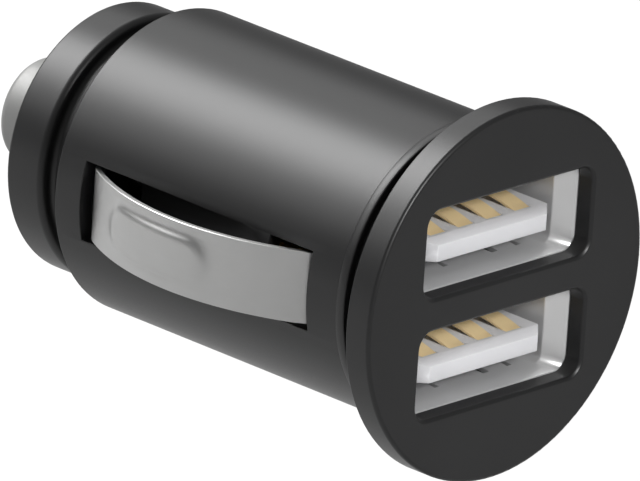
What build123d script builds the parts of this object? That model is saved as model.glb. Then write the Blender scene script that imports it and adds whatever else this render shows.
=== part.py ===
from build123d import *
import os
from math import hypot, sqrt

# Two-port USB charger plug for a vehicle's 12 V socket.
# The plug's axis is Y: the port face looks along -Y and the sprung tip points along +Y.
# Z is up, with the two ports one above the other, and the side contacts stand at -X and +X.
# The origin is on the axis, in the flange's rear face, which seats on the rim of the socket.
# All sizes are in millimetres.

# USB receptacle shells, which set how slim the plug can be
port_pitch = 7.894
shell_w = 12.5
shell_h = 5.12
shell_len = 11.0
sheet = 0.3
shell_bend = 0.6
shell_fit = 0.08
mouth_recess = 1.29
mouth_gap = 0.03
lip_len = 1.1
lip_spread = 0.97
lip_rise = 0.29
lip_bend = 0.5
lip_room = 0.1
finger_x = 3.2
finger_w = 1.6
finger_len = 4.2
finger_start = 0.7
finger_dip = 0.4
slit = 0.5

# Barrel housing
corner_wall = 0.646
barrel_wall = 1.1
barrel_len = 25.0
barrel_edge = 0.06
collar_step = 0.1
collar_len = 0.7
tail_wall = 1.4
slot_w = 5.2
slot_start = 3.32
slot_land = 2.18
ramp_start = 3.63
ramp_drop = 3.1
ramp_rise = 0.1
ramp_t = 0.8
ramp_side = 0.8
tail_gap = 2.2
rail_t = 0.8
rail_grip = 1.1
rail_fit = 0.1

# Front bezel
flange_overhang = 2.2
flange_t = 1.9
flange_edge = 0.26
pilot_step = 0.5
pilot_len = 0.5
neck_step = 0.3
neck_len = 2.25
spigot_len = 2.4
spigot_fit = 0.05
aperture_corner = 1.05
aperture_gap = 0.03
aperture_edge = 0.18

# Nose ring
nose_screw_step = 2.9
nose_screw_fit = 0.05
nose_neck_step = 2.3
nose_neck_len = 2.23
ring_step = 1.09
ring_len = 3.1
ring_front_edge = 1.0
ring_rear_edge = 0.25
nose_crown = 0.5
nose_lip_t = 1.2

# Centre contact and its spring
tip_d = 7.0
tip_reach = 6.36
tip_edge = 0.8
tip_dome = 0.3
tip_wall = 0.75
head_d = 9.2
head_t = 0.9
slide_fit = 0.15
spring_wire = 0.5
spring_coils = 7
spring_fit = 0.3
spring_seat_t = 0.5
spring_seat_margin = 0.4

# Side contacts
leaf_w = 4.66
leaf_t = 0.35
leaf_crown = 2.135
leaf_sink = 0.8
leaf_gap = 0.15
leaf_lean = 0.1
leaf_fit = 0.1
foot_len = 1.9
foot_play = 0.2
toe_len = 0.8
rib_len = 9.5
rib_w = 2.9
rib_h = 0.25
rib_start = -3.3

# Receptacle insulators and their contact strips
tongue_w = 11.1
tongue_t = 1.37
tongue_top = 0.12
tongue_recess = 0.12
tongue_bevel_h = 0.3
tongue_bevel_len = 0.8
tongue_corner = 0.78
block_len = 2.2
block_fit = 0.05
strip_count = 4
strip_pitch = 2.48
strip_w = 1.32
strip_t = 0.2
strip_fit = 0.05
strip_start = 1.1
strip_flat = 0.15
strip_arch_len = 5.6
strip_bow = 0.5
groove_d = 0.25
pin_out = 0.6
pin_fit = 0.15

# Boards
board_t = 1.0
port_board_fit = 0.25
power_board_fit = 0.35
ground_strap_w = 3.0
ground_strap_gap = 0.4

# Parts on the power board
drum_d = 6.0
drum_h = 3.0
drum_flange_t = 0.6
drum_core_d = 2.6
winding_fit = 0.05
can_d = 4.0
can_len = 7.0
can_crimp = 0.25
can_lead_d = 0.5
can_lead_pitch = 1.5
chip_len = 4.9
chip_w = 3.9
chip_h = 1.5
small_chip_len = 2.9
small_chip_w = 1.6
small_chip_h = 1.1
chip_lead_count = 4
small_chip_lead_count = 3
chip_lead_t = 0.2
chip_lead_reach = 1.0
diode_len = 4.3
diode_w = 2.6
diode_h = 2.2
fuse_len = 3.2
fuse_w = 1.6
fuse_h = 0.7
passive_len = 2.0
passive_w = 1.25
passive_h = 0.8
resistor_h = 0.5
passive_count = 4
part_gap = 0.25

# Places along the axis, worked out from the sizes above
face_y = -flange_t
barrel_y = neck_len
tail_y = barrel_y + barrel_len
bulkhead_y = tail_y - tail_wall
spigot_y = barrel_y + spigot_len
ring_y = tail_y + nose_neck_len
nose_y = ring_y + ring_len
tip_y = nose_y + tip_reach
nose_lip_y = nose_y - nose_lip_t
slot_y = barrel_y + slot_start
slot_end_y = tail_y - slot_land
ramp_y = slot_y + ramp_start
ramp_end_y = slot_end_y - tail_gap
mouth_y = face_y + mouth_recess
shell_y = mouth_y + mouth_gap
lip_root_y = shell_y + lip_len
shell_end_y = shell_y + shell_len
tongue_y = shell_y + tongue_recess
block_y = shell_end_y - block_len
port_board_end_y = shell_end_y + board_t
power_end_y = bulkhead_y - spring_seat_t

# Radii and widths that several pieces share
shell_out_w = shell_w + 2 * sheet
shell_out_h = shell_h + 2 * sheet
shell_out_bend = shell_bend + sheet
window_w = shell_out_w + 2 * shell_fit
window_h = shell_out_h + 2 * shell_fit
window_corner = shell_out_bend + shell_fit
mouth_w = shell_w + 2 * lip_spread
mouth_h = shell_h + 2 * lip_rise
corner_x = shell_out_w / 2 - shell_out_bend
corner_z = (port_pitch + shell_out_h) / 2 - shell_out_bend
barrel_r = hypot(corner_x, corner_z) + window_corner + corner_wall
bore_r = barrel_r - barrel_wall
flange_r = barrel_r + flange_overhang
pilot_r = barrel_r + pilot_step
neck_r = barrel_r - neck_step
nose_screw_r = barrel_r - nose_screw_step
nose_neck_r = barrel_r - nose_neck_step
ring_r = barrel_r - ring_step
port_heights = {"upper": port_pitch / 2, "lower": -port_pitch / 2}
port_board_r = bore_r - port_board_fit
power_half_w = bore_r - power_board_fit
foot_out_x = sqrt(bore_r**2 - (leaf_w / 2) ** 2) - leaf_fit
foot_x = foot_out_x - leaf_t / 2
foot_y = slot_y - foot_len
strap_x = foot_out_x - leaf_t - ground_strap_gap - sheet / 2


def turned(outline):
    """Body of revolution about the plug's axis, from (radius, place along Y) points."""
    return revolve(make_face(Polyline(outline, close=True)), Axis.Y)


def along_axis(outline, start_y, end_y):
    """Prism of a front-view outline between two places on the axis."""
    return extrude(Plane.XZ.offset(-start_y) * outline, amount=start_y - end_y)


def flared(front_outline, front_y, rear_outline, rear_y):
    """Funnel with straight sides between two front-view outlines."""
    front = Plane.XZ.offset(-front_y) * front_outline
    rear = Plane.XZ.offset(-rear_y) * rear_outline
    return loft([front, rear], ruled=True)


def side_strip(path, thickness, width):
    """Bent strip: a side-view path (Y, Z) of one thickness, spread evenly about X = 0."""
    return extrude(Plane.YZ * trace(path, thickness), amount=width / 2, both=True)


def block(x0, x1, y0, y1, z0, z1):
    """Rectangular block between two corners."""
    centre = Pos((x0 + x1) / 2, (y0 + y1) / 2, (z0 + z1) / 2)
    return centre * Box(abs(x1 - x0), abs(y1 - y0), abs(z1 - z0))


def rim_edges(part, radius):
    """Circular edges of one radius about the axis."""
    circles = part.edges().filter_by(GeomType.CIRCLE)
    return circles.filter_by(lambda edge: abs(edge.radius - radius) < 1e-4)


def build_bezel():
    """Moulded front: flange, pilot, neck and spigot round two windows for the receptacles."""
    bezel = turned([
        (0, face_y),
        (flange_r, face_y),
        (flange_r, 0),
        (pilot_r, 0),
        (pilot_r, pilot_len),
        (neck_r, pilot_len),
        (neck_r, barrel_y),
        (bore_r - spigot_fit, barrel_y),
        (bore_r - spigot_fit, spigot_y),
        (0, spigot_y),
    ])
    front_rim = rim_edges(bezel, flange_r).sort_by(Axis.Y)[0]
    bezel = fillet(front_rim, flange_edge)
    aperture = RectangleRounded(mouth_w + 2 * aperture_gap, mouth_h + 2 * aperture_gap, aperture_corner)
    window = RectangleRounded(window_w, window_h, window_corner)
    # Behind each aperture a funnel-shaped pocket takes the flared mouth of the shell.
    room = sheet + lip_room
    pocket_mouth = RectangleRounded(mouth_w + 2 * room, mouth_h + 2 * room, lip_bend + room)
    pocket = flared(pocket_mouth, mouth_y, window, lip_root_y)
    for height in port_heights.values():
        bezel -= along_axis(Pos(0, height) * aperture, face_y, mouth_y)
        bezel -= along_axis(Pos(0, height) * window, mouth_y, spigot_y)
        bezel -= Pos(0, 0, height) * pocket
    front = bezel.faces().sort_by(Axis.Y)[0]
    aperture_rims = [edge for wire in front.inner_wires() for edge in wire.edges()]
    bezel = chamfer(aperture_rims, aperture_edge)
    # Notches in the spigot take the feet of the side contacts and the ground straps.
    notch_x = strap_x - sheet / 2 - foot_play
    for side in (-1, 1):
        bezel -= block(
            side * notch_x, side * barrel_r,
            foot_y - foot_play, spigot_y,
            -slot_w / 2, slot_w / 2,
        )
    return bezel


def build_barrel():
    """Moulded tube with a collar, a ramped slot in each side, board rails and a tail wall."""
    collar_r = barrel_r + collar_step
    barrel = turned([
        (bore_r, barrel_y),
        (collar_r, barrel_y),
        (collar_r, barrel_y + collar_len),
        (barrel_r, barrel_y + collar_len),
        (barrel_r, tail_y),
        (nose_screw_r, tail_y),
        (nose_screw_r, bulkhead_y),
        (bore_r, bulkhead_y),
    ])
    tail_rim = rim_edges(barrel, barrel_r).sort_by(Axis.Y)[-1]
    front_rim = rim_edges(barrel, collar_r).sort_by(Axis.Y)[0]
    barrel = chamfer([tail_rim, front_rim], barrel_edge)
    # The corners of the receptacle shells reach past the bore, so the bore is relieved round them.
    relief = RectangleRounded(window_w, window_h, window_corner)
    for height in port_heights.values():
        barrel -= along_axis(Pos(0, height) * relief, barrel_y, shell_end_y)
    # Each slot is open at both ends. Between them a ramp leads in, so that the leaf has room to sink.
    ramp_top_x = barrel_r + ramp_rise
    ramp_foot_x = barrel_r - ramp_drop
    ramp = make_face(Polyline(
        (ramp_top_x, ramp_y),
        (ramp_top_x, ramp_end_y),
        (ramp_foot_x - ramp_t, ramp_end_y),
        (ramp_top_x - ramp_t, ramp_y),
        close=True,
    ))
    slot = make_face(Polyline(
        (0, slot_y),
        (flange_r, slot_y),
        (flange_r, slot_end_y),
        (0, slot_end_y),
        (0, ramp_end_y),
        (ramp_foot_x, ramp_end_y),
        (ramp_top_x, ramp_y),
        (0, ramp_y),
        close=True,
    ))
    ramp_reach = along_axis(Circle(bore_r + barrel_wall / 2), ramp_y, ramp_end_y)
    ramp_block = ramp_reach & extrude(ramp, amount=slot_w / 2 + ramp_side, both=True)
    slot_cut = extrude(slot, amount=slot_w / 2, both=True)
    for turn in (0, 180):
        barrel += Rot(0, turn, 0) * ramp_block
        barrel -= Rot(0, turn, 0) * slot_cut
    # Pairs of rails at the top and bottom hold the edges of the power board.
    rail_x = board_t / 2 + rail_fit
    rail_reach = along_axis(Circle(bore_r + barrel_wall / 2), port_board_end_y, bulkhead_y)
    for side in (-1, 1):
        for level in (-1, 1):
            rail = block(
                side * rail_x, side * (rail_x + rail_t),
                port_board_end_y, bulkhead_y,
                level * (power_half_w - rail_grip), level * barrel_r,
            )
            barrel += rail & rail_reach
    return barrel


def build_nose_ring():
    """Turned-looking ring that screws into the tail wall and holds the tip's head."""
    bore = head_d / 2 + slide_fit
    tip_hole = tip_d / 2 + slide_fit
    ring = turned([
        (bore, bulkhead_y),
        (nose_screw_r - nose_screw_fit, bulkhead_y),
        (nose_screw_r - nose_screw_fit, tail_y),
        (nose_neck_r, tail_y),
        (nose_neck_r, ring_y),
        (ring_r, ring_y),
        (ring_r, nose_y),
        (tip_hole, nose_y + nose_crown),
        (tip_hole, nose_lip_y),
        (bore, nose_lip_y),
    ])
    front_rim = rim_edges(ring, ring_r).sort_by(Axis.Y)[0]
    ring = fillet(front_rim, ring_front_edge)
    rear_rim = rim_edges(ring, ring_r).sort_by(Axis.Y)[-1]
    return fillet(rear_rim, ring_rear_edge)


def build_centre_contact():
    """Hollow plated tip: domed end, straight shank and a head behind the nose ring's lip."""
    head_y = nose_lip_y - head_t
    shoulder_y = tip_y - tip_dome
    dome = ThreePointArc(
        (tip_d / 2, shoulder_y),
        (tip_d / 4, shoulder_y + 0.75 * tip_dome),
        (0, tip_y),
    )
    hollow_r = tip_d / 2 - tip_wall
    sides = Polyline(
        (0, tip_y),
        (0, shoulder_y - tip_wall),
        (hollow_r, shoulder_y - tip_wall),
        (hollow_r, head_y),
        (head_d / 2, head_y),
        (head_d / 2, nose_lip_y),
        (tip_d / 2, nose_lip_y),
        (tip_d / 2, shoulder_y),
    )
    contact = revolve(make_face(dome + sides), Axis.Y)
    end_rim = rim_edges(contact, tip_d / 2).sort_by(Axis.Y)[-1]
    return fillet(end_rim, tip_edge)


def build_spring():
    """Compression spring from the spring seat to the inside of the tip."""
    spring_r = tip_d / 2 - tip_wall - spring_fit - spring_wire / 2
    start_y = bulkhead_y + spring_wire / 2
    height = tip_y - tip_dome - tip_wall - spring_wire / 2 - start_y
    coil = Helix(height / spring_coils, height, spring_r, (0, start_y, 0), (0, 1, 0))
    section = Plane(coil @ 0, z_dir=coil % 0) * RegularPolygon(spring_wire / 2, 6)
    return sweep(section, coil, is_frenet=True)


def build_spring_seat():
    """Brass pad on the end of the power board, under the spring."""
    seat_r = tip_d / 2 - tip_wall + spring_seat_margin
    return along_axis(Circle(seat_r), power_end_y, bulkhead_y)


def build_side_contact(side):
    """Arched leaf in one slot, with a trapped foot in front and a toe under the wall behind."""
    front_leg_y = slot_y + leaf_gap + leaf_t / 2
    rear_leg_y = slot_end_y - leaf_gap - leaf_t / 2
    crown_y = (slot_y + slot_end_y) / 2
    arch_x = barrel_r - leaf_sink
    arch_front = (arch_x, front_leg_y + leaf_lean)
    arch_rear = (arch_x, rear_leg_y - leaf_lean)
    crown = (barrel_r + leaf_crown - leaf_t / 2, crown_y)
    front_bend = Polyline((foot_x, foot_y), (foot_x, front_leg_y), arch_front)
    arch = ThreePointArc(arch_front, crown, arch_rear)
    rear_bend = Polyline(arch_rear, (foot_x, rear_leg_y), (foot_x, rear_leg_y + toe_len))
    leaf = extrude(trace([front_bend, arch, rear_bend], leaf_t), amount=leaf_w / 2, both=True)
    # A long pressed rib stiffens the rear half of the arch.
    outer_r = arch.edge().radius + leaf_t / 2
    centre_x = barrel_r + leaf_crown - outer_r
    rib_y = crown_y + rib_start + rib_len / 2
    rib_outline = Pos(rib_y, 0) * SlotOverall(rib_len, rib_w)
    rib_prism = extrude(Plane.YZ * rib_outline, amount=2 * barrel_r)
    skin = Circle(outer_r + rib_h) - Circle(outer_r - leaf_t / 2)
    leaf += rib_prism & (Pos(centre_x, crown_y) * extrude(skin, amount=leaf_w / 2, both=True))
    return leaf if side > 0 else leaf.mirror(Plane.YZ)


def build_shell(height):
    """Folded sheet shell of one receptacle, with a flared mouth and inward spring fingers."""
    half_h = shell_h / 2
    outside = RectangleRounded(shell_out_w, shell_out_h, shell_out_bend)
    inside = RectangleRounded(shell_w, shell_h, shell_bend)
    mouth_outside = RectangleRounded(mouth_w + 2 * sheet, mouth_h + 2 * sheet, lip_bend + sheet)
    mouth_inside = RectangleRounded(mouth_w, mouth_h, lip_bend)
    shell = along_axis(outside - inside, lip_root_y, shell_end_y)
    shell += flared(mouth_outside, shell_y, outside, lip_root_y)
    shell -= flared(mouth_inside, shell_y, inside, lip_root_y)
    finger_y = lip_root_y + finger_start
    wall = half_h + sheet / 2
    for side in (-1, 1):
        finger = side_strip(
            Polyline(
                (finger_y - sheet, side * wall),
                (finger_y, side * wall),
                (finger_y + 0.7 * finger_len, side * (wall - finger_dip)),
                (finger_y + finger_len, side * (wall - finger_dip / 2)),
            ),
            sheet,
            finger_w,
        )
        for x in (-finger_x, finger_x):
            shell -= block(
                x - finger_w / 2 - slit, x + finger_w / 2 + slit,
                finger_y, finger_y + finger_len + slit,
                side * (half_h - shell_bend), side * (half_h + 2 * sheet),
            )
            shell += Pos(x, 0, 0) * finger
    return Pos(0, 0, height) * shell


def strip_places():
    """Places of the contact strips across a port."""
    return [(index - (strip_count - 1) / 2) * strip_pitch for index in range(strip_count)]


def build_tongue(height):
    """White insulator: a rear block in the shell and a bevelled tongue with strip grooves."""
    under = tongue_top - tongue_t
    side_view = make_face(Polyline(
        (tongue_y, under),
        (tongue_y, tongue_top - tongue_bevel_h),
        (tongue_y + tongue_bevel_len, tongue_top),
        (block_y, tongue_top),
        (block_y, under),
        close=True,
    ))
    plan_view = make_face(Polyline(
        (-tongue_w / 2, block_y),
        (-tongue_w / 2, tongue_y + tongue_corner),
        (-tongue_w / 2 + tongue_corner, tongue_y),
        (tongue_w / 2 - tongue_corner, tongue_y),
        (tongue_w / 2, tongue_y + tongue_corner),
        (tongue_w / 2, block_y),
        close=True,
    ))
    tongue = extrude(Plane.YZ * side_view, amount=tongue_w / 2, both=True)
    tongue &= extrude(plan_view, amount=shell_h / 2, both=True)
    block_outline = RectangleRounded(shell_w - 2 * block_fit, shell_h - 2 * block_fit, shell_bend)
    tongue += along_axis(block_outline, block_y, shell_end_y)
    groove_floor = tongue_top - groove_d
    half_groove = strip_w / 2 + strip_fit
    for x in strip_places():
        tongue -= block(
            x - half_groove, x + half_groove,
            tongue_y + strip_start - strip_fit, block_y,
            groove_floor, tongue_top + groove_d,
        )
        tongue -= block(
            x - half_groove, x + half_groove,
            block_y, shell_end_y,
            groove_floor, groove_floor + strip_t + strip_fit,
        )
    return Pos(0, 0, height) * tongue


def build_strips(height):
    """The gold strips of one port: arched on the tongue, then straight pins through the board."""
    level = tongue_top - groove_d + strip_t / 2
    start = tongue_y + strip_start
    arch_start = (start + strip_flat, level)
    arch_end = (start + strip_flat + strip_arch_len, level)
    arch_top = (start + strip_flat + strip_arch_len / 2, level + strip_bow)
    path = [
        Line((start, level), arch_start),
        ThreePointArc(arch_start, arch_top, arch_end),
        Line(arch_end, (port_board_end_y + pin_out, level)),
    ]
    strip = side_strip(path, strip_t, strip_w)
    return Compound([Pos(x, 0, height) * strip.solid() for x in strip_places()])


def build_port_board():
    """Round board across the barrel, with holes for the pins of both receptacles."""
    outline = Circle(port_board_r)
    pin_hole = Rectangle(strip_w + 2 * pin_fit, strip_t + 2 * pin_fit)
    level = tongue_top - groove_d + strip_t / 2
    for height in port_heights.values():
        for x in strip_places():
            outline -= Pos(x, height + level) * pin_hole
    return along_axis(outline, shell_end_y, port_board_end_y)


def build_power_board():
    """Board along the axis, upright between the barrel's rails."""
    half_t = board_t / 2
    return block(-half_t, half_t, port_board_end_y, power_end_y, -power_half_w, power_half_w)


def build_ground_strap(side):
    """Brass strip from beside a side contact's foot to a solder foot on the port board."""
    path = Polyline(
        (side * strap_x, foot_y),
        (side * strap_x, shell_end_y - sheet / 2),
        (side * (port_board_r - sheet), shell_end_y - sheet / 2),
    )
    return extrude(trace(path, sheet), amount=ground_strap_w / 2, both=True)


def on_board(side, y, z):
    """Seat on one face of the power board: local Z points away from it and local X along the axis."""
    return Plane(origin=(side * board_t / 2, y, z), x_dir=(0, 1, 0), z_dir=(side, 0, 0))


def along_board(share):
    """Place along the power board, as a share of its length from the port board."""
    return port_board_end_y + share * (power_end_y - port_board_end_y)


def build_inductor_core(seat):
    """Ferrite drum: two flanges on a thin core."""
    outline = make_face(Polyline(
        (0, 0),
        (drum_d / 2, 0),
        (drum_d / 2, drum_flange_t),
        (drum_core_d / 2, drum_flange_t),
        (drum_core_d / 2, drum_h - drum_flange_t),
        (drum_d / 2, drum_h - drum_flange_t),
        (drum_d / 2, drum_h),
        (0, drum_h),
        close=True,
    ))
    return seat * revolve(Plane.XZ * outline, Axis.Z)


def build_winding(seat):
    """Copper winding between the drum's flanges."""
    depth = drum_h - 2 * drum_flange_t - 2 * winding_fit
    ring = Circle(drum_d / 2 - drum_flange_t) - Circle(drum_core_d / 2 + winding_fit)
    return seat * (Pos(0, 0, drum_flange_t + winding_fit) * extrude(ring, amount=depth))


def build_capacitor(seat):
    """Electrolytic can lying along the board, crimped near its leads, which turn into the board."""
    can_r = can_d / 2
    crimp_x = can_len / 2 - can_d / 4
    outline = make_face(Polyline(
        (-can_len / 2, 0),
        (-can_len / 2, can_r),
        (crimp_x - can_crimp, can_r),
        (crimp_x, can_r - can_crimp),
        (crimp_x + can_crimp, can_r),
        (can_len / 2, can_r),
        (can_len / 2, 0),
        close=True,
    ))
    can = Pos(0, 0, can_r) * revolve(outline, Axis.X)
    for offset in (-can_lead_pitch / 2, can_lead_pitch / 2):
        lead_path = Polyline(
            (can_len / 2 - can_lead_d, offset, can_r),
            (can_len / 2 + 2 * can_lead_d, offset, can_r),
            (can_len / 2 + 2 * can_lead_d, offset, 0),
        )
        section = Plane(lead_path @ 0, z_dir=lead_path % 0) * Circle(can_lead_d / 2)
        can += sweep(section, lead_path, transition=Transition.RIGHT)
    return seat * can


def build_chip(seat, length, width, height, lead_count):
    """Moulded chip with gull-wing leads along both long sides."""
    body = Pos(0, 0, height / 2 + chip_lead_t / 2) * Box(length, width, height - chip_lead_t)
    body = chamfer(body.faces().sort_by(Axis.Z)[-1].edges(), chip_lead_t)
    pitch = length / lead_count
    shoulder = width / 2
    foot = shoulder + chip_lead_reach
    for side in (-1, 1):
        lead = trace(
            Polyline(
                (side * (shoulder - chip_lead_t), height / 2),
                (side * (shoulder + chip_lead_reach / 2), height / 2),
                (side * (shoulder + chip_lead_reach / 2), chip_lead_t / 2),
                (side * foot, chip_lead_t / 2),
            ),
            chip_lead_t,
        )
        lead = extrude(Plane.YZ * lead, amount=pitch / 6, both=True)
        for index in range(lead_count):
            body += Pos((index - (lead_count - 1) / 2) * pitch, 0, 0) * lead
    return seat * body


def build_capped_block(length, width, height):
    """Surface-mount part with a metal cap on each end."""
    cap_len = length / 5
    cap_t = height / 10
    core = Pos(0, 0, height / 2) * Box(length - cap_len, width - 2 * cap_t, height - 2 * cap_t)
    for side in (-1, 1):
        core += Pos(side * (length - cap_len) / 2, 0, height / 2) * Box(cap_len, width, height)
    return core


def build_row(side, z, height):
    """Row of identical small parts along the power board."""
    part = build_capped_block(passive_len, passive_w, height)
    shares = [(index + 0.5) / passive_count for index in range(passive_count)]
    return Compound([on_board(side, along_board(share), z) * part.solid() for share in shares])


def build_parts():
    """Every piece of the plug, by name."""
    clear_half_w = power_half_w - rail_grip - part_gap
    upper_z = clear_half_w - drum_d / 2
    lower_z = can_d / 2 - clear_half_w
    capacitor_z = upper_z - chip_w / 2 - chip_lead_reach - passive_w / 2 - part_gap
    fuse_z = upper_z - drum_d / 2 - fuse_w / 2 - part_gap
    resistor_z = fuse_z - fuse_w / 2 - passive_w / 2 - part_gap
    drum_seat = on_board(1, along_board(0.3), upper_z)
    parts = {
        "front_bezel": build_bezel(),
        "barrel_housing": build_barrel(),
        "nose_ring": build_nose_ring(),
        "centre_contact": build_centre_contact(),
        "contact_spring": build_spring(),
        "spring_seat": build_spring_seat(),
        "port_board": build_port_board(),
        "power_board": build_power_board(),
        "inductor_core": build_inductor_core(drum_seat),
        "inductor_winding": build_winding(drum_seat),
        "output_capacitor": build_capacitor(on_board(1, along_board(0.45), lower_z)),
        "input_capacitor": build_capacitor(on_board(-1, along_board(0.45), lower_z)),
        "converter_chip": build_chip(
            on_board(-1, along_board(0.3), upper_z), chip_len, chip_w, chip_h, chip_lead_count),
        "charge_control_chip": build_chip(
            on_board(-1, along_board(0.75), upper_z),
            small_chip_len, small_chip_w, small_chip_h, small_chip_lead_count),
        "rectifier_diode": on_board(1, along_board(0.75), upper_z)
        * build_capped_block(diode_len, diode_w, diode_h),
        "chip_fuse": on_board(1, along_board(0.8), fuse_z)
        * build_capped_block(fuse_len, fuse_w, fuse_h),
        "chip_capacitors": build_row(-1, capacitor_z, passive_h),
        "chip_resistors": build_row(1, resistor_z, resistor_h),
    }
    for name, side in (("left", -1), ("right", 1)):
        parts[f"side_contact_{name}"] = build_side_contact(side)
        parts[f"ground_strap_{name}"] = build_ground_strap(side)
    for name, height in port_heights.items():
        parts[f"usb_shell_{name}"] = build_shell(height)
        parts[f"usb_tongue_{name}"] = build_tongue(height)
        parts[f"usb_contacts_{name}"] = build_strips(height)
    return parts


os.makedirs("parts", exist_ok=True)
for name, part in build_parts().items():
    export_step(part, f"parts/{name}.step")
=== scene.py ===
import math

import bmesh
import bpy
from mathutils import Matrix, Vector


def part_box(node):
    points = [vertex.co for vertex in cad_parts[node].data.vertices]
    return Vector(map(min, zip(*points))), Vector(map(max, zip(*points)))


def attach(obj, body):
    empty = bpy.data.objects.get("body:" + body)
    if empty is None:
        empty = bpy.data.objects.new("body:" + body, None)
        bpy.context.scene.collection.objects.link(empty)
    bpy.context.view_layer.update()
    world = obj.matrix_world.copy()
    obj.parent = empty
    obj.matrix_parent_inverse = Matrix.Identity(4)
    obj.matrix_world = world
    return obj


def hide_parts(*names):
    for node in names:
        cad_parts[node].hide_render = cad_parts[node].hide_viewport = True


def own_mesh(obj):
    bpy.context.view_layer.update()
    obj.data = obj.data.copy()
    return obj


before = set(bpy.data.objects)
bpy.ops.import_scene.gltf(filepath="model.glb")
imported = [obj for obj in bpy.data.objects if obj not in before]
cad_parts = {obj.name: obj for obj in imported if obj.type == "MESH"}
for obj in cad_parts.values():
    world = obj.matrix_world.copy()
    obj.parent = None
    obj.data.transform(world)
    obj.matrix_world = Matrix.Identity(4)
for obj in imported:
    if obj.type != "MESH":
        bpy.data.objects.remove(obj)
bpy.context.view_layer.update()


# FRONT BEZEL
# The round front of the plug: one injection moulding in dark satin plastic, a flange
# with two windows for the receptacles, and a spigot behind it that is pressed into the barrel.
mm = 0.001
weld_gap = 0.0008
sliver_size = 0.0002
flat_angle = math.radians(0.4)
smooth_angle = math.radians(42)
edge_segments = 2


def as_piece(work, name, even=True):
    """Turns finished mesh work into a smooth-shaded piece in the scene."""
    mesh = bpy.data.meshes.new(name)
    work.to_mesh(mesh)
    work.free()
    mesh.shade_smooth()
    mesh.set_sharp_from_angle(angle=smooth_angle)
    piece = bpy.data.objects.new(name, mesh)
    bpy.context.scene.collection.objects.link(piece)
    if even:
        shading = piece.modifiers.new("even_faces", "WEIGHTED_NORMAL")
        shading.keep_sharp = True
    return piece


def edged_copy(node, name, edge_round, hard_angle=25.0):
    """A piece from the solid's own faces, with its hard edges rounded as a mould leaves them."""
    work = bmesh.new()
    work.from_mesh(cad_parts[node].data)
    bmesh.ops.scale(work, vec=Vector((1, 1, 1)) / mm, verts=work.verts)
    bmesh.ops.remove_doubles(work, verts=work.verts, dist=weld_gap)
    bmesh.ops.dissolve_limit(work, angle_limit=flat_angle, verts=work.verts, edges=work.edges)
    hard_edges = []
    for edge in work.edges:
        shortest = min(link.calc_length() for end in edge.verts for link in end.link_edges)
        if shortest > edge_round and edge.calc_face_angle(0.0) > math.radians(hard_angle):
            hard_edges.append(edge)
    bmesh.ops.bevel(
        work,
        geom=hard_edges,
        offset=edge_round,
        offset_type="OFFSET",
        segments=edge_segments,
        profile=0.5,
        affect="EDGES",
        clamp_overlap=False,
    )
    bmesh.ops.dissolve_degenerate(work, dist=sliver_size, edges=work.edges)
    bmesh.ops.scale(work, vec=Vector((mm, mm, mm)), verts=work.verts)
    return as_piece(work, name)


def fit(piece, body, finish, node):
    """Gives a piece its finish, fixes it to its body and puts it in the place of its solid."""
    piece.data.materials.append(finish)
    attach(piece, body)
    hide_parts(node)


def surface_group(name, stretch):
    """Node group for a surface: slow clouding, and a fine grain that can be drawn out one way."""
    group = bpy.data.node_groups.new(name, "ShaderNodeTree")
    face = group.interface
    face.new_socket("Grain per metre", in_out="INPUT", socket_type="NodeSocketFloat")
    face.new_socket("Clouds per metre", in_out="INPUT", socket_type="NodeSocketFloat")
    face.new_socket("Cloud", in_out="OUTPUT", socket_type="NodeSocketFloat")
    face.new_socket("Grain", in_out="OUTPUT", socket_type="NodeSocketFloat")
    nodes, links = group.nodes, group.links
    given = nodes.new("NodeGroupInput")
    result = nodes.new("NodeGroupOutput")
    place = nodes.new("ShaderNodeTexCoord")
    drawn = nodes.new("ShaderNodeMapping")
    drawn.inputs["Scale"].default_value = stretch
    cloud = nodes.new("ShaderNodeTexNoise")
    cloud.inputs["Detail"].default_value = 3.0
    grain = nodes.new("ShaderNodeTexNoise")
    grain.inputs["Detail"].default_value = 4.0
    grain.inputs["Roughness"].default_value = 0.65
    links.new(place.outputs["Object"], cloud.inputs["Vector"])
    links.new(place.outputs["Object"], drawn.inputs["Vector"])
    links.new(drawn.outputs["Vector"], grain.inputs["Vector"])
    links.new(given.outputs["Clouds per metre"], cloud.inputs["Scale"])
    links.new(given.outputs["Grain per metre"], grain.inputs["Scale"])
    links.new(cloud.outputs["Fac"], result.inputs["Cloud"])
    links.new(grain.outputs["Fac"], result.inputs["Grain"])
    return group


moulded_grain = surface_group("moulded_grain", stretch=(1.0, 1.0, 1.0))
noise_low, noise_high = 0.3, 0.7


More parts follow.
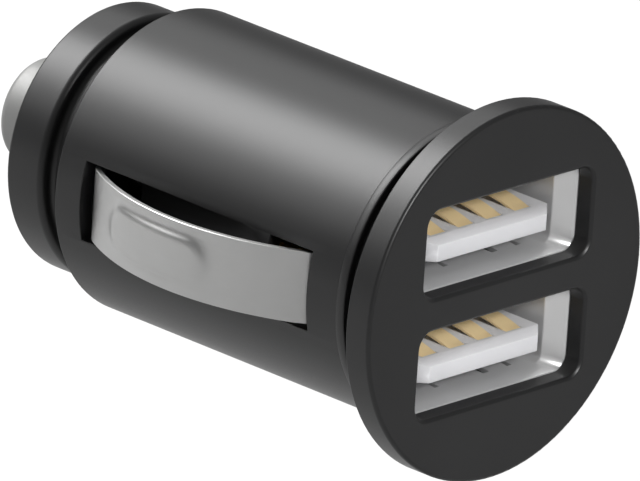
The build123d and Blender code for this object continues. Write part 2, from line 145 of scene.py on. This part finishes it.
def coated(
    name,
    dark,
    light,
    rough,
    grain,
    metal=0.0,
    specular=0.5,
    group=moulded_grain,
    height=0.004,
    clouds=160.0,
):
    """A finish that clouds between two tones, with an uneven gloss and a fine grain in relief.

    Grain and clouds are counted per metre, and the height of the relief is in mm.
    """
    finish = bpy.data.materials.new(name)
    finish.use_nodes = True
    nodes, links = finish.node_tree.nodes, finish.node_tree.links
    shader = nodes["Principled BSDF"]
    shader.inputs["Metallic"].default_value = metal
    shader.inputs["Specular IOR Level"].default_value = specular
    surface = nodes.new("ShaderNodeGroup")
    surface.node_tree = group
    surface.inputs["Grain per metre"].default_value = grain
    surface.inputs["Clouds per metre"].default_value = clouds
    tone = nodes.new("ShaderNodeValToRGB")
    tone.name = "tone"
    tone.color_ramp.elements[0].position = noise_low
    tone.color_ramp.elements[0].color = (*dark, 1)
    tone.color_ramp.elements[1].position = noise_high
    tone.color_ramp.elements[1].color = (*light, 1)
    gloss = nodes.new("ShaderNodeMapRange")
    gloss.inputs["From Min"].default_value = noise_low
    gloss.inputs["From Max"].default_value = noise_high
    gloss.inputs["To Min"].default_value = rough[0]
    gloss.inputs["To Max"].default_value = rough[1]
    relief = nodes.new("ShaderNodeBump")
    relief.inputs["Strength"].default_value = 1.0
    relief.inputs["Distance"].default_value = height * mm
    links.new(surface.outputs["Cloud"], tone.inputs["Fac"])
    links.new(tone.outputs["Color"], shader.inputs["Base Color"])
    links.new(surface.outputs["Grain"], gloss.inputs["Value"])
    links.new(gloss.outputs["Result"], shader.inputs["Roughness"])
    links.new(surface.outputs["Grain"], relief.inputs["Height"])
    links.new(relief.outputs["Normal"], shader.inputs["Normal"])
    return finish


satin_plastic = coated(
    "satin_plastic",
    dark=(0.0095, 0.0095, 0.0098),
    light=(0.0115, 0.0115, 0.0118),
    rough=(0.37, 0.41),
    grain=9000.0,
    height=0.0015,
)
bezel = edged_copy("front_bezel", "bezel", edge_round=0.06)
fit(bezel, "housing", satin_plastic, "front_bezel")


# RECEPTACLE SHELLS
# Two folded boxes of thin tinned steel sheet, one behind each window. The mouth flares as one
# funnel into a pocket of the bezel, sprung fingers are cut out of the long walls, and the back
# stands on the port board.
drawn_grain = surface_group("drawn_grain", stretch=(1.0, 0.06, 1.0))
tinned_sheet = coated(
    "tinned_sheet",
    dark=(0.70, 0.70, 0.70),
    light=(0.76, 0.76, 0.76),
    rough=(0.28, 0.36),
    grain=5000.0,
    metal=0.6,
    group=drawn_grain,
    height=0.0005,
)
for level in ("upper", "lower"):
    shell = edged_copy(f"usb_shell_{level}", f"receptacle_shell_{level}", edge_round=0.07)
    fit(shell, "housing", tinned_sheet, f"usb_shell_{level}")


# TONGUES
# The insulator of each receptacle, moulded in white nylon: a flat tongue with a bevelled
# front edge and four grooves, on a block that closes the back of the shell.
white_nylon = coated(
    "white_nylon",
    dark=(0.70, 0.70, 0.72),
    light=(0.75, 0.75, 0.77),
    rough=(0.38, 0.48),
    grain=4000.0,
    height=0.002,
)
nylon_shader = white_nylon.node_tree.nodes["Principled BSDF"]
nylon_shader.inputs["Subsurface Weight"].default_value = 0.6
nylon_shader.inputs["Subsurface Radius"].default_value = (1.0, 1.0, 1.0)
nylon_shader.inputs["Subsurface Scale"].default_value = 1.2 * mm
for level in ("upper", "lower"):
    tongue = edged_copy(f"usb_tongue_{level}", f"tongue_{level}", edge_round=0.05)
    fit(tongue, "housing", white_nylon, f"usb_tongue_{level}")


# CONTACT STRIPS
# Four bowed strips of gold-plated bronze lie in the grooves of each tongue, and their
# tails pass through its block and are soldered into the port board.
gold_plate = coated(
    "gold_plate",
    dark=(0.92, 0.71, 0.39),
    light=(0.97, 0.76, 0.43),
    rough=(0.42, 0.50),
    grain=6000.0,
    metal=0.25,
    group=drawn_grain,
    height=0.0003,
)
for level in ("upper", "lower"):
    strips = edged_copy(f"usb_contacts_{level}", f"contact_strips_{level}", edge_round=0.04)
    fit(strips, "housing", gold_plate, f"usb_contacts_{level}")


# BOARDS
# A round port board stands across the barrel behind the receptacles, and the long power board
# stands on edge between the barrel's rails, from the port board to the tail. Both are green
# glass laminate with copper tracks under the lacquer.
def laminate():
    """Green board: clouded lacquer over a net of paler copper tracks."""
    board = coated(
        "board_lacquer",
        dark=(0.010, 0.085, 0.030),
        light=(0.014, 0.11, 0.04),
        rough=(0.28, 0.36),
        grain=7000.0,
    )
    nodes, links = board.node_tree.nodes, board.node_tree.links
    place = nodes.new("ShaderNodeTexCoord")
    net = nodes.new("ShaderNodeTexVoronoi")
    net.feature = "DISTANCE_TO_EDGE"
    net.inputs["Scale"].default_value = 420.0
    net.inputs["Randomness"].default_value = 0.35
    track = nodes.new("ShaderNodeMapRange")
    track.inputs["From Min"].default_value = 0.05
    track.inputs["From Max"].default_value = 0.09
    track.inputs["To Min"].default_value = 1.0
    track.inputs["To Max"].default_value = 0.0
    blend = nodes.new("ShaderNodeMix")
    blend.data_type = "RGBA"
    blend.inputs["B"].default_value = (0.03, 0.19, 0.06, 1)
    links.new(place.outputs["Object"], net.inputs["Vector"])
    links.new(net.outputs["Distance"], track.inputs["Value"])
    links.new(track.outputs["Result"], blend.inputs["Factor"])
    links.new(nodes["tone"].outputs["Color"], blend.inputs["A"])
    links.new(blend.outputs["Result"], nodes["Principled BSDF"].inputs["Base Color"])
    return board


board_lacquer = laminate()
for node in ("port_board", "power_board"):
    board = edged_copy(node, f"{node}_laminate", edge_round=0.05)
    fit(board, "housing", board_lacquer, node)


# INDUCTOR
# A drum of grey ferrite stands on the power board, and enamelled copper wire is wound
# in close layers between its two flanges.
ferrite_grey = coated(
    "ferrite_grey",
    dark=(0.030, 0.029, 0.029),
    light=(0.055, 0.053, 0.052),
    rough=(0.55, 0.75),
    grain=5200.0,
    height=0.006,
)
core = edged_copy("inductor_core", "inductor_drum", edge_round=0.08)
fit(core, "housing", ferrite_grey, "inductor_core")

winding_low, winding_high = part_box("inductor_winding")
winding_depth = (winding_high.x - winding_low.x) / mm
winding_radius = (winding_high.z - winding_low.z) / 2 / mm
winding_bore = 1.4
winding_sections = 72
turn_steps = 8
usual_wire = 0.28
turns = round(winding_depth / usual_wire)
wire = winding_depth / turns


def skin(work, rings):
    """Lays faces between each ring of points and the next one."""
    for here, there in zip(rings, rings[1:]):
        for k in range(len(here)):
            beyond = (k + 1) % len(here)
            work.faces.new((here[k], here[beyond], there[beyond], there[k]))


def lathe(points, axis_point, axis, name, sections, even=False):
    """A turned piece: points are (along, radius) pairs in mm, and the outline closes on itself."""
    work = bmesh.new()
    axis = Vector(axis).normalized()
    across = axis.orthogonal().normalized()
    beside = axis.cross(across)
    rings = []
    for i in range(sections):
        angle = 2 * math.pi * i / sections
        out = math.cos(angle) * across + math.sin(angle) * beside
        ring = []
        for along, radius in points:
            ring.append(work.verts.new(Vector(axis_point) + (along * axis + radius * out) * mm))
        rings.append(ring)
    skin(work, rings + rings[:1])
    bmesh.ops.recalc_face_normals(work, faces=work.faces)
    return as_piece(work, name, even)


turn_outline = [(0.0, winding_bore)]
for turn in range(turns):
    for step in range(1, turn_steps):
        sweep = math.pi * step / turn_steps
        turn_outline.append((
            wire * (turn + 0.5 - 0.5 * math.cos(sweep)),
            winding_radius - wire / 2 + wire / 2 * math.sin(sweep),
        ))
turn_outline.append((wire * turns, winding_bore))
winding = lathe(
    turn_outline,
    axis_point=(
        winding_low.x,
        (winding_low.y + winding_high.y) / 2,
        (winding_low.z + winding_high.z) / 2,
    ),
    axis=(1, 0, 0),
    name="inductor_turns",
    sections=winding_sections,
)
enamelled_wire = coated(
    "enamelled_wire",
    dark=(0.50, 0.20, 0.08),
    light=(0.62, 0.27, 0.11),
    rough=(0.28, 0.36),
    grain=3000.0,
    metal=1.0,
    height=0.001,
)
fit(winding, "housing", enamelled_wire, "inductor_winding")


# SMOOTHING CAPACITORS
# Two electrolytic capacitors lie along the power board in bare drawn aluminium cans, each
# rolled in round its seal, with two tinned leads that turn down into the board.
bare_can = coated(
    "bare_can",
    dark=(0.62, 0.62, 0.61),
    light=(0.69, 0.69, 0.68),
    rough=(0.28, 0.36),
    grain=4500.0,
    metal=1.0,
    group=drawn_grain,
    height=0.0008,
)
for node in ("input_capacitor", "output_capacitor"):
    can = edged_copy(node, f"{node}_can", edge_round=0.06, hard_angle=35.0)
    fit(can, "housing", bare_can, node)


# CHIPS AND DIODE
# The converter and the charge controller are black moulded packages with bent tinned leads,
# and the rectifier is a block diode. All are soldered flat to the power board.
moulded_chip = coated(
    "moulded_chip",
    dark=(0.012, 0.012, 0.012),
    light=(0.020, 0.020, 0.020),
    rough=(0.5, 0.65),
    grain=4200.0,
)
for node in ("converter_chip", "charge_control_chip", "rectifier_diode"):
    chip = edged_copy(node, f"{node}_package", edge_round=0.04)
    fit(chip, "housing", moulded_chip, node)


# FUSE AND CHIP PARTS
# Small ceramic blocks with tinned end caps, soldered in rows beside the larger parts: one
# fuse, four capacitors and four resistors.
chip_parts = (
    ("chip_fuse", "fuse_body", (0.60, 0.58, 0.52), (0.68, 0.66, 0.60)),
    ("chip_capacitors", "chip_capacitor_body", (0.34, 0.23, 0.13), (0.42, 0.29, 0.17)),
    ("chip_resistors", "chip_resistor_body", (0.020, 0.020, 0.022), (0.035, 0.035, 0.038)),
)
for node, slot, dark, light in chip_parts:
    ceramic = coated(f"{node}_ceramic", dark, light, rough=(0.35, 0.5), grain=3500.0, height=0.003)
    block = edged_copy(node, f"{node}_block", edge_round=0.04)
    fit(block, "housing", ceramic, node)


# GROUND STRAPS
# Two straps of bent brass strip, one on each side of the receptacles. Each runs from beside
# the foot of a side contact to a foot of its own that is soldered to the port board.
strap_brass = coated(
    "strap_brass",
    dark=(0.58, 0.42, 0.18),
    light=(0.66, 0.49, 0.23),
    rough=(0.28, 0.36),
    grain=5000.0,
    metal=1.0,
    group=drawn_grain,
    height=0.001,
)
for side in ("left", "right"):
    strap = edged_copy(f"ground_strap_{side}", f"strap_{side}", edge_round=0.05)
    fit(strap, "housing", strap_brass, f"ground_strap_{side}")


# BARREL
# The body of the plug, moulded in the same dark satin plastic: a tube with a low collar in
# front, rails inside for the power board and a tail wall that takes the nose ring. The slot in
# each side has a ramped floor, so that the sprung contact has room to sink.
barrel = edged_copy("barrel_housing", "barrel", edge_round=0.06)
fit(barrel, "housing", satin_plastic, "barrel_housing")


# SIDE CONTACTS
# Two leaves of nickel-plated spring steel that press on the socket's wall. Each is bent from
# one strip, arched out of its slot with a pressed rib, and its foot is trapped inside the barrel.
leaf_low, leaf_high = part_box("side_contact_right")
leaf_width = (leaf_high.z - leaf_low.z) / mm
leaf_sheet, leaf_round = 0.35, 0.035
foot_start, toe_end = leaf_low.y / mm, leaf_high.y / mm
foot_line = leaf_low.x / mm + leaf_sheet / 2
foot_length, foot_lead, toe_length, leg_lean = 2.225, 1.0, 0.8, 0.1
front_leg, rear_leg = foot_start + foot_length, toe_end - toe_length
front_arch, rear_arch = front_leg + leg_lean, rear_leg - leg_lean
arch_foot, leaf_crown = 9.0, 11.76
arch_front_trim, arch_rear_trim = 0.4, 0.9
leg_bend, front_bend, rear_bend = 0.35, 0.36, 0.85
rib_from, rib_to, rib_half = 12.4, 21.1, 1.45
rib_height, steep_flank, soft_flank = 0.25, 1.25, 2.4
arch_steps, bend_steps, width_steps = 140, 6, 96


def bend(before, corner, after, trim):
    """A corner of the strip as the press bends it: points on a short curve."""
    start = corner + (before - corner).normalized() * trim
    end = corner + (after - corner).normalized() * trim
    points = []
    for i in range(bend_steps + 1):
        t = i / bend_steps
        points.append((1 - t) ** 2 * start + 2 * t * (1 - t) * corner + t**2 * end)
    return points


def leaf_line():
    """The middle line of the leaf from foot to toe, as (out, along) points in mm."""
    half = (rear_arch - front_arch) / 2
    rise = leaf_crown - arch_foot
    bow = (half**2 + rise**2) / (2 * rise)
    centre = Vector((leaf_crown - bow, (front_arch + rear_arch) / 2))
    reach = math.asin(half / bow)
    first, last = arch_front_trim / bow - reach, reach - arch_rear_trim / bow
    arch = []
    for i in range(arch_steps + 1):
        angle = first + (last - first) * i / arch_steps
        arch.append(centre + bow * Vector((math.cos(angle), math.sin(angle))))
    foot_corner = Vector((foot_line, front_leg))
    front_corner = Vector((arch_foot, front_arch))
    rear_corner = Vector((arch_foot, rear_arch))
    toe_corner = Vector((foot_line, rear_leg))
    toe_tip = Vector((foot_line, toe_end))
    line = [Vector((foot_line, foot_start)), Vector((foot_line, front_leg - foot_lead))]
    line += bend(line[-1], foot_corner, front_corner, leg_bend)
    line += bend(foot_corner, front_corner, arch[0], front_bend)
    line += arch
    line += bend(arch[-1], rear_corner, toe_corner, rear_bend)
    line += bend(rear_corner, toe_corner, toe_tip, leg_bend)
    line.append(toe_tip)
    return line


def rib_rise(along, across):
    """How far the pressed rib lifts the sheet at a point of the leaf.

    The rib's flanks are steep beside its middle and run out softly towards its ends.
    """
    nearest = min(max(along, rib_from + rib_half), rib_to - rib_half)
    inside = rib_half - math.hypot(along - nearest, across)
    off_middle = min(abs(2 * along - rib_from - rib_to) / (rib_to - rib_from), 1.0)
    flank = steep_flank + (soft_flank - steep_flank) * off_middle**3
    share = min(max(2 * inside / flank, -1.0), 1.0)
    return rib_height / 2 * (1 + math.copysign(1 - (1 - abs(share)) ** 3, share))


def capped(work, rings, name):
    """A closed piece along a row of rings, with a face over each end."""
    skin(work, rings)
    work.faces.new(rings[0])
    work.faces.new(rings[-1])
    bmesh.ops.recalc_face_normals(work, faces=work.faces)
    return as_piece(work, name, even=False)


def leaf_strip(side, name):
    """One sprung leaf as a closed strip, with the burr taken off its long edges."""
    line = leaf_line()
    flat_width = leaf_width - 2 * leaf_round
    across = [leaf_round - leaf_width / 2 + flat_width * k / width_steps for k in range(width_steps + 1)]
    work = bmesh.new()
    rings = []
    for i, point in enumerate(line):
        ahead = line[min(i + 1, len(line) - 1)] - line[max(i - 1, 0)]
        ahead.normalize()
        outward = Vector((ahead.y, -ahead.x))
        loop = [(leaf_sheet / 2 + rib_rise(point.y, z), z) for z in across]
        loop.append((leaf_sheet / 2 - leaf_round, leaf_width / 2))
        loop.append((leaf_round - leaf_sheet / 2, leaf_width / 2))
        loop += [(rib_rise(point.y, z) - leaf_sheet / 2, z) for z in reversed(across)]
        loop.append((leaf_round - leaf_sheet / 2, -leaf_width / 2))
        loop.append((leaf_sheet / 2 - leaf_round, -leaf_width / 2))
        ring = []
        for rise, z in loop:
            spot = point + outward * rise
            ring.append(work.verts.new(Vector((side * spot.x, spot.y, z)) * mm))
        rings.append(ring)
    return capped(work, rings, name)


nickel_leaf = coated(
    "nickel_leaf",
    dark=(0.50, 0.50, 0.495),
    light=(0.54, 0.54, 0.535),
    rough=(0.32, 0.40),
    grain=3500.0,
    metal=1.0,
    group=drawn_grain,
    height=0.0008,
)
for side, sign in (("left", -1), ("right", 1)):
    leaf = leaf_strip(sign, f"sprung_leaf_{side}")
    fit(leaf, f"leaf_{side}", nickel_leaf, f"side_contact_{side}")


# CENTRE CONTACT
# A brass seat on the end of the power board, a coil spring of steel wire, and the deep-drawn
# plated tip that the spring pushes out through the nose ring.
seat_brass = coated(
    "seat_brass",
    dark=(0.60, 0.44, 0.19),
    light=(0.68, 0.51, 0.24),
    rough=(0.28, 0.36),
    grain=5000.0,
    metal=1.0,
    height=0.001,
)
seat = edged_copy("spring_seat", "spring_pad", edge_round=0.06)
fit(seat, "housing", seat_brass, "spring_seat")

spring_low, spring_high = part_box("contact_spring")
wire_radius, wire_sides = 0.25, 10
coil_radius = (spring_high.x - spring_low.x) / 2 / mm - wire_radius
coil_from = spring_low.y / mm + wire_radius
coil_to = spring_high.y / mm - wire_radius
coil_turns, steps_per_turn = 7, 32
coil_steps = coil_turns * steps_per_turn


def coil_spring(name):
    """The compression spring: round wire wound on a helix along the plug's axis."""
    work = bmesh.new()
    rings = []
    for i in range(coil_steps + 1):
        angle = 2 * math.pi * coil_turns * i / coil_steps
        along = coil_from + (coil_to - coil_from) * i / coil_steps
        out = Vector((math.cos(angle), 0, -math.sin(angle)))
        ring = []
        for k in range(wire_sides):
            swing = 2 * math.pi * k / wire_sides
            spot = out * (coil_radius + wire_radius * math.cos(swing))
            spot.y = along + wire_radius * math.sin(swing)
            ring.append(work.verts.new(spot * mm))
        rings.append(ring)
    return capped(work, rings, name)


spring_wire = coated(
    "spring_wire",
    dark=(0.42, 0.42, 0.42),
    light=(0.50, 0.50, 0.49),
    rough=(0.28, 0.36),
    grain=4000.0,
    metal=1.0,
    height=0.001,
)
spring = coil_spring("tip_spring")
fit(spring, "housing", spring_wire, "contact_spring")
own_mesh(spring)

plated_tip = coated(
    "plated_tip",
    dark=(0.29, 0.29, 0.285),
    light=(0.32, 0.32, 0.315),
    rough=(0.54, 0.60),
    grain=4000.0,
    metal=0.6,
    height=0.0006,
)
tip = edged_copy("centre_contact", "plated_tip", edge_round=0.06)
fit(tip, "tip", plated_tip, "centre_contact")


# NOSE RING
# A moulding in the same dark plastic that looks turned. Its spigot screws into the tail of the
# barrel, and its lip keeps the head of the tip and the spring in place.
ring_low, ring_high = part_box("nose_ring")
barrel_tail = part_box("barrel_housing")[1].y / mm
ring_radius = ring_high.x / mm
ring_length, ring_crown, ring_lip = 3.1, 0.5, 1.2
screw_radius, neck_radius, bore_radius, tip_hole = 6.85, 7.85, 4.75, 3.65
neck_cove, front_edge, rear_edge, hole_edge = 0.36, 0.5, 0.25, 0.1
spigot_end = ring_low.y / mm
ring_back = ring_high.y / mm - ring_crown
ring_front = ring_back - ring_length
ring_sections, edge_steps = 192, 6


def turned_edge(along, radius, size, first, last):
    """The rounded edge of a turned outline, between two directions given in degrees."""
    points = []
    for i in range(edge_steps + 1):
        angle = math.radians(first + (last - first) * i / edge_steps)
        points.append((along + size * math.cos(angle), radius + size * math.sin(angle)))
    return points


ring_outline = [
    (spigot_end, bore_radius),
    (spigot_end, screw_radius),
    (barrel_tail, screw_radius),
    (barrel_tail, neck_radius),
]
ring_outline += turned_edge(ring_front - neck_cove, neck_radius + neck_cove, neck_cove, -90, 0)
ring_outline += turned_edge(ring_front + front_edge, ring_radius - front_edge, front_edge, 180, 90)
ring_outline += turned_edge(ring_back - rear_edge, ring_radius - rear_edge, rear_edge, 90, 0)
ring_outline += [
    (ring_back + ring_crown, tip_hole + hole_edge),
    (ring_back + ring_crown - hole_edge, tip_hole),
    (ring_back - ring_lip, tip_hole),
    (ring_back - ring_lip, bore_radius),
]
nose = lathe(
    ring_outline,
    axis_point=(0, 0, 0),
    axis=(0, 1, 0),
    name="nose_ring_moulding",
    sections=ring_sections,
    even=True,
)
fit(nose, "housing", satin_plastic, "nose_ring")


# STUDIO
# A wide floor of white paper well below the plug, in an even grey room, with all sizes in metres.
# Three soft boxes hang above the plug and behind it, one lamp lights the floor behind it, and
# one lamp lights the ports.
floor_level, floor_back = -0.045, 0.015
floor_radius, floor_sides = 1.2, 96
floor_work = bmesh.new()
bmesh.ops.create_circle(floor_work, cap_ends=True, radius=floor_radius, segments=floor_sides)
bmesh.ops.translate(floor_work, vec=Vector((0, floor_back, floor_level)), verts=floor_work.verts)
floor = as_piece(floor_work, "floor", even=False)
paper = coated(
    "white_paper",
    dark=(0.61, 0.61, 0.61),
    light=(0.63, 0.63, 0.63),
    rough=(0.85, 0.95),
    grain=900.0,
    specular=0.0,
    clouds=8.0,
)
floor.data.materials.append(paper)

room = bpy.data.worlds.new("room")
room.use_nodes = True
room_walls = room.node_tree.nodes["Background"]
room_walls.inputs["Color"].default_value = (1, 1, 1, 1)
room_walls.inputs["Strength"].default_value = 0.22
bpy.context.scene.world = room
bpy.context.scene.view_settings.view_transform = "Standard"

plug_middle = Vector((-0.00717, 0.00724, 0.00232))


def soft_box(name, toward, distance, size, radiance):
    """A square soft light that faces the plug and has an even brightness over its face."""
    light = bpy.data.lights.new(name, "AREA")
    light.shape = "SQUARE"
    light.size = size
    light.energy = radiance * math.pi * size**2
    holder = bpy.data.objects.new(name, light)
    direction = Vector(toward).normalized()
    holder.location = plug_middle + direction * distance
    holder.rotation_euler = direction.to_track_quat("Z", "Y").to_euler()
    bpy.context.scene.collection.objects.link(holder)


soft_box("key_light", toward=(-0.167, 0.643, 0.748), distance=0.7, size=0.37, radiance=11.6)
soft_box("side_light", toward=(0.45, 0.643, 0.62), distance=0.9, size=0.35, radiance=1.8)
soft_box("left_light", toward=(-0.573, 0.643, 0.507), distance=0.8, size=0.30, radiance=2.6)


def spot_lamp(name, place, aim, cone, edge, softness, irradiance):
    """A lamp with a narrow soft-edged cone, for one part of the set."""
    lamp = bpy.data.lights.new(name, "SPOT")
    line = Vector(place) - Vector(aim)
    lamp.energy = irradiance * 4 * math.pi * line.length_squared
    lamp.spot_size = math.radians(cone)
    lamp.spot_blend = edge
    lamp.shadow_soft_size = softness
    holder = bpy.data.objects.new(name, lamp)
    holder.location = place
    holder.rotation_euler = line.to_track_quat("Z", "Y").to_euler()
    bpy.context.scene.collection.objects.link(holder)


spot_lamp(
    "back_light",
    place=(0.100, 0.086, 0.500),
    aim=(0.100, 0.086, floor_level),
    cone=18.6,
    edge=0.45,
    softness=0.01,
    irradiance=2.0,
)
spot_lamp(
    "port_light",
    place=(-0.050, -0.200, 0.114),
    aim=(0.0, 0.0, -0.002),
    cone=13.0,
    edge=0.6,
    softness=0.022,
    irradiance=2.8,
)


# CAMERA
# A very long lens from the front left, a little above and slightly rolled, so that the view
# has almost no perspective, as in the photograph.
across_view = Vector((0.69739, -0.71374, 0.06496))
up_view = Vector((0.20383, 0.28442, 0.93678))
toward_camera = Vector((-0.68710, -0.64006, 0.34383))
camera_place = Vector((-0.82586, -0.75548, 0.41201))
camera = bpy.data.cameras.new("camera")
camera.sensor_width = 36.0
camera.lens = 1100.0
camera.clip_end = 10.0
stand = bpy.data.objects.new("camera", camera)
pose = Matrix((across_view, up_view, toward_camera)).transposed().to_4x4()
pose.translation = camera_place
stand.matrix_world = pose
bpy.context.scene.collection.objects.link(stand)
bpy.context.scene.camera = stand


# UPDATE
# The view layer is brought up to date once everything is in place.
bpy.context.view_layer.update()
